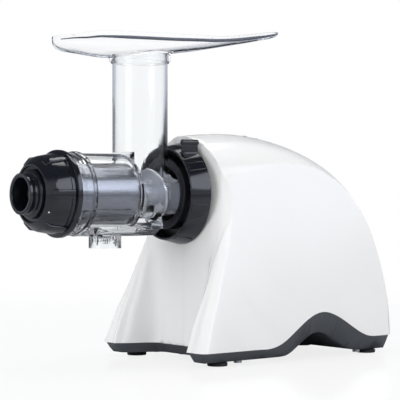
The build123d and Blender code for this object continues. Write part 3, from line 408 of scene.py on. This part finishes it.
# %% [markdown]
# ### Even tray
# The tray is a long leaf-shaped dish of clear plastic with a collar that sits over the
# tube. Its long, shallow curves would still show uneven normals through clear plastic.
# It could be lofted again by hand, but a voxel remesh gives its thin wall a mesh of even
# squares at once, and a light smoothing rounds the rim as moulding does.

# %% Even tray
voxel = 0.0008
only(tray)
even = tray.modifiers.new("even_squares", "REMESH")
even.mode = "VOXEL"
even.voxel_size = voxel
even.use_smooth_shade = True
bpy.ops.object.modifier_apply(modifier=even.name)
calm = tray.modifiers.new("calm", "SMOOTH")
calm.factor = 0.5
calm.iterations = 14
bpy.ops.object.modifier_apply(modifier=calm.name)
print(tray.name, len(tray.data.polygons), "even faces")

# %% [markdown]
# ## Turned mouldings
# The cap, nozzle and locking ring are round mouldings with softened edges. They could be
# stacked from cylinders, but every step would leave a hard seam. Each is drawn instead
# as half of its cross-section, by extruding one vertex from corner to corner. The
# corners are then bevelled and the outline is spun once round the screw's axis, which
# gives even quads and true highlights along the edges.


# %% Turning helper
def turned(name, outline, soft):
    """Spin a closed outline of (x, radius) corners, in millimetres, round the screw's axis."""
    steps = 120
    points = [Vector((x / 1000, 0, axis_z + r / 1000)) for x, r in outline]
    bpy.ops.object.select_all(action="DESELECT")
    bpy.ops.mesh.primitive_plane_add(size=0.001, location=points[0])
    piece = bpy.context.object
    piece.name = name
    settle(piece)
    bpy.ops.object.mode_set(mode="EDIT")
    bpy.ops.mesh.merge(type="CENTER")
    for here, there in zip(points, points[1:]):
        bpy.ops.mesh.extrude_vertices_move(TRANSFORM_OT_translate={"value": there - here})
    bpy.ops.object.mode_set(mode="OBJECT")
    ends = (0, len(piece.data.vertices) - 1)
    for index in ends:
        piece.data.vertices[index].select = True
    bpy.ops.object.mode_set(mode="EDIT")
    bpy.ops.mesh.edge_face_add()
    bpy.ops.mesh.select_all(action="SELECT")
    bpy.ops.mesh.bevel(offset=soft / 1000, segments=3, affect="VERTICES")
    bpy.ops.mesh.select_all(action="SELECT")
    bpy.ops.mesh.spin(
        steps=steps, angle=radians(360), center=(0, 0, axis_z), axis=(1, 0, 0),
    )
    bpy.ops.mesh.select_all(action="SELECT")
    bpy.ops.mesh.remove_doubles(threshold=0.000002)
    bpy.ops.mesh.normals_make_consistent(inside=False)
    bpy.ops.object.mode_set(mode="OBJECT")
    smooth(piece, 50)
    print(name, len(piece.data.polygons), "faces")
    return piece


# %% [markdown]
# ### Grips
# The ring and the cap are turned by hand, so both carry raised grips. A grip could be
# extruded from the round surface, but the outline's quads don't fall where the grips
# do. It is a block instead, cut across at its knee, bent down in front of it and
# bevelled on all edges, then set into the surface and joined to the piece.


# %% Grip helper
def rounded_pad(name, size, soft, place, turn, knee=None, droop=0.0):
    """A bevelled block of this size in millimetres, bent down before its knee."""
    bpy.ops.object.select_all(action="DESELECT")
    bpy.ops.mesh.primitive_cube_add(size=0.001)
    pad = bpy.context.object
    pad.name = name
    pad.scale = size
    settle(pad)
    bpy.ops.object.mode_set(mode="EDIT")
    if knee is not None:
        bpy.ops.mesh.select_all(action="SELECT")
        bpy.ops.mesh.bisect(plane_co=(knee / 1000, 0, 0), plane_no=(1, 0, 0))
        bpy.ops.mesh.select_all(action="DESELECT")
        bpy.ops.object.mode_set(mode="OBJECT")
        for corner in pad.data.vertices:
            corner.select = corner.co.x < knee / 1000 - 0.001
        bpy.ops.object.mode_set(mode="EDIT")
        bpy.ops.transform.translate(value=(0, 0, -droop / 1000))
    bpy.ops.mesh.select_all(action="SELECT")
    bpy.ops.mesh.bevel(offset=soft / 1000, segments=4, affect="EDGES", clamp_overlap=True)
    bpy.ops.object.mode_set(mode="OBJECT")
    smooth(pad, 40)
    pad.matrix_world = turn @ Matrix.Translation(Vector(place) / 1000)
    settle(pad)
    return pad


def round_the_axis(angle):
    """The turn about the screw's axis that takes the near side, -Y, up by this angle."""
    lift = Matrix.Translation((0, 0, axis_z))
    return lift @ Matrix.Rotation(radians(90 - angle), 4, "X")


def merge_pieces(main, others):
    """Join other pieces into the main one, which keeps its name."""
    bpy.ops.object.select_all(action="DESELECT")
    for piece in others:
        piece.select_set(True)
    main.select_set(True)
    bpy.context.view_layer.objects.active = main
    bpy.ops.object.join()


print("grip helpers ready")

# %% [markdown]
# ### Locking ring
# The ring is a short cone with raised grips and one thumb tab near its top, in the place
# of a grip. The tab could be one thick block, but the real one is a thin wall under a
# rounded bar, so that a thumb finds it without looking. The bar is a bevelled cylinder
# laid along the axis.

# %% Locking ring
ring = turned(
    "locking_ring_skin",
    [
        (-42.9, 42.3), (-42.9, 44.3), (-23.0, 48.9), (-23.0, 41.4), (-27.2, 41.4),
        (-27.2, 43.0), (-30.2, 43.0), (-30.2, 41.4), (-39.9, 41.4),
    ],
    0.5,
)
ring_slope = Matrix.Rotation(radians(-13.0), 4, "Y")
ring_seat = Matrix.Translation((-0.03295, 0, 0.0460))
grip_angles = (34, -17, -68, -119, -170, 139)
ring_pads = []
for angle in grip_angles:
    there = round_the_axis(angle) @ ring_seat @ ring_slope
    ring_pads.append(rounded_pad("ring_pad", (17.2, 9.2, 2.4), 0.7, (0, 0, 0), there))

# %% [markdown]
# The tab's three parts stand off the ring's side, so they are placed straight from the
# axis, without a turn round it.

# %% Thumb tab
on_axis = Matrix.Translation((0, 0, axis_z))
along_axis = Matrix.Rotation(radians(90), 4, "Y")
bar_place = Matrix.Translation((-0.0322, -0.0269, 0.0486))
tab_wall = rounded_pad("tab_wall", (17.6, 3.4, 15.0), 0.6, (-32.4, -26.9, 42.1), on_axis)
bpy.ops.mesh.primitive_cylinder_add(vertices=40, radius=0.0027, depth=0.0184)
tab_bar = bpy.context.object
bpy.ops.object.mode_set(mode="EDIT")
bpy.ops.mesh.select_all(action="SELECT")
bpy.ops.mesh.bevel(offset=0.0005, segments=3, affect="EDGES")
bpy.ops.object.mode_set(mode="OBJECT")
smooth(tab_bar, 40)
tab_bar.matrix_world = on_axis @ bar_place @ along_axis
settle(tab_bar)
tab_foot = rounded_pad("tab_foot", (17.0, 9.0, 6.0), 1.6, (-32.7, -26.2, 37.0), on_axis)
merge_pieces(ring, [*ring_pads, tab_wall, tab_bar, tab_foot])
paint(ring, black_gloss)
stand_for(ring, "locking_ring")
print(ring.name, len(ring.data.polygons), "faces with its grips and tab")

# %% [markdown]
# ### Front cap
# The cap is a deep cup with a rounded shoulder, a flange at the drum and six grips that
# run along it and over the shoulder. The grips could follow the shoulder as swept
# curves, but one knee in a straight block is what the moulding has. They are thin enough
# to end inside the cap's wall, so the cap's bore stays clear for the drum when it turns.

# %% Front cap
cap = turned(
    "drum_cap_skin",
    [
        (-191.0, 25.8), (-191.0, 27.1), (-189.6, 29.2), (-184.6, 33.6), (-182.2, 34.7),
        (-169.4, 37.0), (-168.6, 36.0), (-165.4, 36.2), (-164.6, 40.1), (-163.6, 40.4),
        (-160.0, 40.4), (-160.0, 33.7), (-177.0, 33.7), (-177.0, 31.3), (-181.5, 31.3),
        (-181.5, 23.0), (-184.0, 23.0), (-184.0, 20.2), (-189.2, 20.2), (-189.2, 25.2),
    ],
    0.5,
)
grip_count = 6
cap_seat = Matrix.Translation((-0.1766, 0, 0.0356))
cap_slope = Matrix.Rotation(radians(-8.5), 4, "Y")
cap_pads = []
for number in range(grip_count):
    there = round_the_axis(360 / grip_count * number) @ cap_seat @ cap_slope
    pad = rounded_pad(
        "cap_pad", (21.5, 8.6, 3.4), 1.1, (0, 0, 0), there, knee=-6.6, droop=3.0,
    )
    cap_pads.append(pad)
merge_pieces(cap, cap_pads)
paint(cap, black_gloss)
stand_for(cap, "drum_cap")
print(cap.name, len(cap.data.polygons), "faces with its grips")

# %% [markdown]
# ### Pulp nozzle
# The nozzle turns in the cap and lets the pressed pulp out. It has a thick rolled lip, a
# straight stem and a collar that sits in the recess of the cap. A tube with a Solidify
# modifier would have one thickness all along, so the whole outline is drawn and spun.

# %% Pulp nozzle
nozzle = turned(
    "nozzle_skin",
    [
        (-202.0, 15.6), (-202.0, 18.9), (-199.2, 18.9), (-198.4, 17.8), (-194.6, 17.8),
        (-193.8, 18.6), (-193.2, 21.2), (-192.2, 22.4), (-189.5, 22.4), (-189.5, 20.0),
        (-187.8, 20.0), (-187.8, 18.4), (-186.0, 18.4), (-186.0, 20.0), (-183.7, 20.0),
        (-183.7, 21.4), (-181.8, 21.4), (-181.8, 15.0), (-201.2, 15.0),
    ],
    0.45,
)
paint(nozzle, black_gloss)
stand_for(nozzle, "nozzle")

# %% [markdown]
# ### Tray inlay
# A slim graphite strip runs along the tray's near side, a little below the rim. It could
# be painted by height, but the rim rises towards the back and the line would wander. It
# is a curve instead, with a flat, rounded section, that follows the wall and runs out
# thin at both ends. It is turned into a mesh and joined to the tray.

# %% Tray inlay
tray_middle = -0.0365
tray_half_length = 0.1275
tray_half_width = 0.0440
rim_height = 0.3092
rim_lengths = [cos(radians(angle)) for angle in range(8, 173, 2)]
strip = bpy.data.curves.new("tray_inlay", "CURVE")
strip.dimensions = "3D"
strip.twist_mode = "Z_UP"
strip.extrude = 0.0009
strip.bevel_depth = 0.0006
strip.bevel_resolution = 3
line = strip.splines.new("POLY")
line.points.add(len(rim_lengths) - 1)


def ease(t):
    """A smooth step from 0 to 1."""
    t = min(max(t, 0.0), 1.0)
    return t * t * (3 - 2 * t)


# %% [markdown]
# Each point takes its place along the tray, from -1 at the front tip to 1 at the back.
# The rim rises towards the back and drops at the front tip, and the strip lies a few
# millimetres below it.

# %% Tray inlay points
for point, along in zip(line.points, rim_lengths):
    across = 0.0012 - 0.975 * tray_half_width * (1 - along * along) ** 0.425
    below = 0.0056 - 0.0014 * ease((along + 0.3) / 0.6)
    below -= 0.0016 * ease((along - 0.7) / 0.25)
    below -= 0.0014 * ease((-0.83 - along) / 0.12)
    rise = 0.0115 * ease(0.5 + (along - 0.6) / 0.94)
    drop = 0.0043 * ease((-0.73 - along) / 0.3)
    length = tray_middle + tray_half_length * along
    point.co = (length, across, rim_height + rise - drop - below, 1.0)
    point.radius = min(1.0, 0.3 + 1.6 * (1 - abs(along)))
inlay = bpy.data.objects.new("tray_inlay", strip)
bpy.context.scene.collection.objects.link(inlay)
only(inlay)
bpy.ops.object.convert(target="MESH")
smooth(inlay, 50)
paint(inlay, inlay_plastic)
merge_pieces(tray, [inlay])
print(tray.name, len(tray.data.polygons), "faces with its inlay")

# %% [markdown]
# ## Studio
# The floor and the world are both white, and both are told apart by the kind of ray
# that meets them. Two small helpers make the nodes that they share.


# %% Studio helpers
def ramp(nodes, start, end, at_start, at_end):
    """A smooth step from one value at start to another at end."""
    step = nodes.new("ShaderNodeMapRange")
    step.interpolation_type = "SMOOTHSTEP"
    step.inputs["From Min"].default_value = start
    step.inputs["From Max"].default_value = end
    step.inputs["To Min"].default_value = at_start
    step.inputs["To Max"].default_value = at_end
    return step


def reckon(nodes, operation, second=None):
    """A Math node with this operation, and its second value where that one is fixed."""
    step = nodes.new("ShaderNodeMath")
    step.operation = operation
    if second is not None:
        step.inputs[1].default_value = second
    return step


print("studio helpers ready")

# %% [markdown]
# ### Floor
# The machine stands on a polished white table. A plain white plane would turn grey
# where the world is dim, so the floor is lifted to white where it is seen directly or
# through the clear drum, fully from 1.3 m away. Near the machine the lift is weaker,
# so that the shadow stays, and the polish keeps a soft reflection of the base. In the
# black mouldings the floor is mirrored darker.

# %% Floor
bpy.ops.mesh.primitive_plane_add(size=12.0, location=(1.5, 2.0, 0.0))
floor = bpy.context.object
floor.name = "floor"
settle(floor)
floor_white = bpy.data.materials.new("floor_white")
floor_white.use_nodes = True
nodes, links = floor_white.node_tree.nodes, floor_white.node_tree.links
gloss = nodes["Principled BSDF"]
gloss.inputs["Base Color"].default_value = (0.92, 0.92, 0.92, 1.0)
gloss.inputs["Roughness"].default_value = 0.12
gloss.inputs["IOR"].default_value = 1.7
glow = nodes.new("ShaderNodeEmission")
dim = nodes.new("ShaderNodeBsdfDiffuse")
dim.inputs["Color"].default_value = (0.10, 0.10, 0.11, 1.0)
place = nodes.new("ShaderNodeTexCoord")
reach = nodes.new("ShaderNodeVectorMath")
reach.operation = "LENGTH"
fade = ramp(nodes, start=0.2, end=1.3, at_start=0.82, at_end=1.0)
path = nodes.new("ShaderNodeLightPath")
seen = reckon(nodes, "MAXIMUM")
unmirrored = reckon(nodes, "SUBTRACT")
unmirrored.use_clamp = True
share = reckon(nodes, "MULTIPLY")
once = reckon(nodes, "MINIMUM", 0.55)
mirrored = nodes.new("ShaderNodeMixShader")
blend = nodes.new("ShaderNodeMixShader")
links.new(place.outputs["Object"], reach.inputs[0])
links.new(reach.outputs["Value"], fade.inputs["Value"])
links.new(path.outputs["Is Camera Ray"], seen.inputs[0])
links.new(path.outputs["Is Transmission Ray"], seen.inputs[1])
links.new(seen.outputs["Value"], unmirrored.inputs[0])
links.new(path.outputs["Glossy Depth"], unmirrored.inputs[1])
links.new(unmirrored.outputs["Value"], share.inputs[0])
links.new(fade.outputs["Result"], share.inputs[1])
links.new(share.outputs["Value"], blend.inputs["Fac"])
links.new(path.outputs["Glossy Depth"], once.inputs[0])
links.new(once.outputs["Value"], mirrored.inputs["Fac"])
links.new(gloss.outputs["BSDF"], mirrored.inputs[1])
links.new(dim.outputs["BSDF"], mirrored.inputs[2])
links.new(mirrored.outputs["Shader"], blend.inputs[1])
links.new(glow.outputs["Emission"], blend.inputs[2])
links.new(blend.outputs["Shader"], nodes["Material Output"].inputs["Surface"])
paint(floor, floor_white)
print("floor", tuple(floor.dimensions))

# %% [markdown]
# ### World
# The world does three jobs. For the light on the object it is an even soft white. Seen
# directly or through the drum it is white round the horizon and darker overhead. In a
# mirroring surface it is pale below, dark above and has one bright round window, which
# is what gives polished black its long reflections. Reflecting cards could stand round
# the machine instead, but then they would also show in the other views.

# %% World
world = bpy.data.worlds.new("studio")
bpy.context.scene.world = world
world.use_nodes = True
nodes, links = world.node_tree.nodes, world.node_tree.links
soft = nodes["Background"]
soft.inputs["Color"].default_value = (1.0, 1.0, 1.0, 1.0)
soft.inputs["Strength"].default_value = 0.66
white = nodes.new("ShaderNodeBackground")
white.inputs["Color"].default_value = (1.0, 1.0, 1.0, 1.0)
mirrored = nodes.new("ShaderNodeBackground")
mirrored.inputs["Color"].default_value = (0.84, 0.89, 1.0, 1.0)
direction = nodes.new("ShaderNodeTexCoord")
path = nodes.new("ShaderNodeLightPath")
print("world backgrounds ready")

# %% [markdown]
# What is seen directly depends on the height of the ray alone. What is mirrored adds a
# pane to a slanted fade: the window is a stretched ball round one direction, bright
# inside and dark outside it.

# %% World seen and mirrored
split = nodes.new("ShaderNodeSeparateXYZ")
ceiling = ramp(nodes, start=0.3, end=0.75, at_start=1.0, at_end=0.5)
tilt = nodes.new("ShaderNodeVectorMath")
tilt.operation = "DOT_PRODUCT"
tilt.inputs[1].default_value = (0.0, 0.25, 1.0)
height = ramp(nodes, start=0.28, end=0.58, at_start=0.6, at_end=0.07)
window = nodes.new("ShaderNodeVectorMath")
window.operation = "MULTIPLY_ADD"
window.inputs[1].default_value = (1.2, 1.2, 3.6)
window.inputs[2].default_value = (-0.48, 0.9, -1.44)
spread = nodes.new("ShaderNodeVectorMath")
spread.operation = "LENGTH"
pane = ramp(nodes, start=0.85, end=1.02, at_start=1.9, at_end=0.0)
lit = reckon(nodes, "ADD")
links.new(direction.outputs["Generated"], split.inputs["Vector"])
links.new(split.outputs["Z"], ceiling.inputs["Value"])
links.new(ceiling.outputs["Result"], white.inputs["Strength"])
links.new(direction.outputs["Generated"], tilt.inputs[0])
links.new(tilt.outputs["Value"], height.inputs["Value"])
links.new(direction.outputs["Generated"], window.inputs[0])
links.new(window.outputs["Vector"], spread.inputs[0])
links.new(spread.outputs["Value"], pane.inputs["Value"])
links.new(height.outputs["Result"], lit.inputs[0])
links.new(pane.outputs["Result"], lit.inputs[1])
links.new(lit.outputs["Value"], mirrored.inputs["Strength"])
print("window stretch", tuple(window.inputs[1].default_value))

# %% [markdown]
# The kind of ray chooses between the three backgrounds. A ray that a glossy surface has
# turned back, even through clear plastic, takes the mirrored one.

# %% World mix
either = reckon(nodes, "MAXIMUM")
behind = nodes.new("ShaderNodeMixShader")
once = reckon(nodes, "MINIMUM", 1.0)
blend = nodes.new("ShaderNodeMixShader")
links.new(path.outputs["Is Camera Ray"], either.inputs[0])
links.new(path.outputs["Is Transmission Ray"], either.inputs[1])
links.new(either.outputs["Value"], behind.inputs["Fac"])
links.new(soft.outputs["Background"], behind.inputs[1])
links.new(white.outputs["Background"], behind.inputs[2])
links.new(path.outputs["Glossy Depth"], once.inputs[0])
links.new(once.outputs["Value"], blend.inputs["Fac"])
links.new(behind.outputs["Shader"], blend.inputs[1])
links.new(mirrored.outputs["Background"], blend.inputs[2])
links.new(blend.outputs["Shader"], nodes["World Output"].inputs["Surface"])
bpy.context.scene.view_settings.view_transform = "Standard"
print("world nodes", len(nodes))

# %% [markdown]
# ### Lamps
# Three large soft lamps light the machine: one overhead, one in front and one on the
# nozzle's side. Small lamps would throw hard shadows and pinpoint highlights. They are
# hidden from glossy rays, because the world alone draws the reflections.


# %% Lamps
def softbox(name, place, aim, wide, high, power):
    """A rectangular lamp at a place, in metres, turned towards its aim, in watts."""
    data = bpy.data.lights.new(name, "AREA")
    data.shape = "RECTANGLE"
    data.size = wide
    data.size_y = high
    data.energy = power
    lamp = bpy.data.objects.new(name, data)
    lamp.location = place
    facing = Vector(aim) - Vector(place)
    lamp.rotation_euler = facing.to_track_quat("-Z", "Y").to_euler()
    lamp.visible_glossy = False
    bpy.context.scene.collection.objects.link(lamp)
    print(name, power, "W")


softbox("overhead", (0.1, 0.1, 2.0), (0.05, 0, 0.1), 2.4, 2.0, 34.0)
softbox("front_fill", (0.3, -2.4, 1.0), (0, 0, 0.15), 2.6, 1.6, 6.0)
softbox("left_fill", (-2.4, -0.1, 0.8), (0, 0, 0.15), 1.4, 1.4, 20.0)
